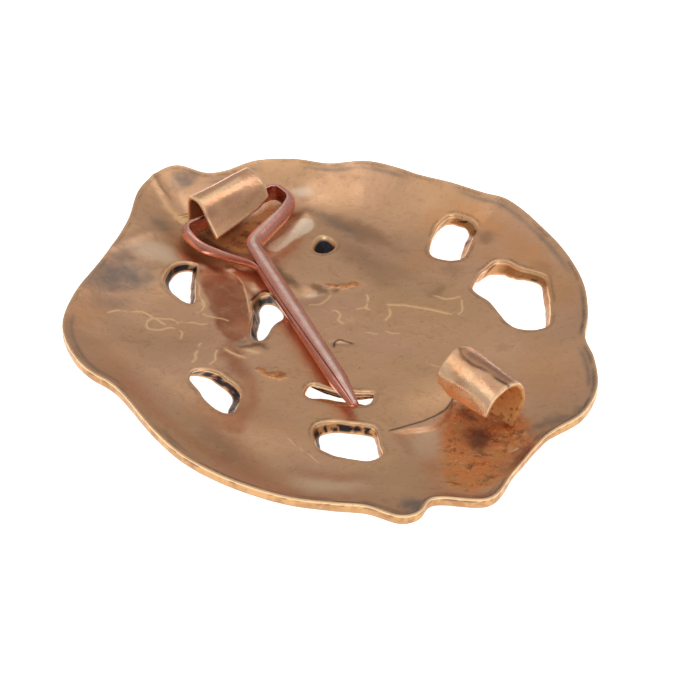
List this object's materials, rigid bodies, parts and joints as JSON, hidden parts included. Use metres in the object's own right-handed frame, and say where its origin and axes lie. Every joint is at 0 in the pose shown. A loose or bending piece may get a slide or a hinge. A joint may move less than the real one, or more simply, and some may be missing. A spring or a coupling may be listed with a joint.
{
  "type": "cap badge",
  "caption": "Pierced die-struck metal cap badge lying face down: two brazed lugs on its hollowed back and a loose split pin hinged in one of them.",
  "frame": {"origin": "middle of the plate's outline, on the flat top of the central boss, which the badge lies on face down", "axes": "+X along the line of the lugs from the hinge lug to the catch lug; +Z out of the back of the badge"},
  "size_m": [0.0522, 0.0434, 0.0071],
  "materials": {
    "plate_bronze": "burnished gilding metal with brown patina",
    "lug_gilt": "bright rolled strip",
    "braze": "rough oxidised braze",
    "pin_copper": "bright copper wire"
  },
  "bodies": {
    "badge": {"badge_plate": "plate_bronze", "hinge_lug": "lug_gilt", "catch_lug": "lug_gilt", "hinge_lug_braze": "braze", "catch_lug_braze": "braze"},
    "pin": {"split_pin": "pin_copper"}
  },
  "joints": [
    {"name": "pin_swing", "type": "hinge", "parent": "badge", "child": "pin", "pos_m": [-0.0182, 0.00315, 0.0033], "axis": [-0.0279, -0.9996, 0], "range_deg": [0, 165]}
  ]
}
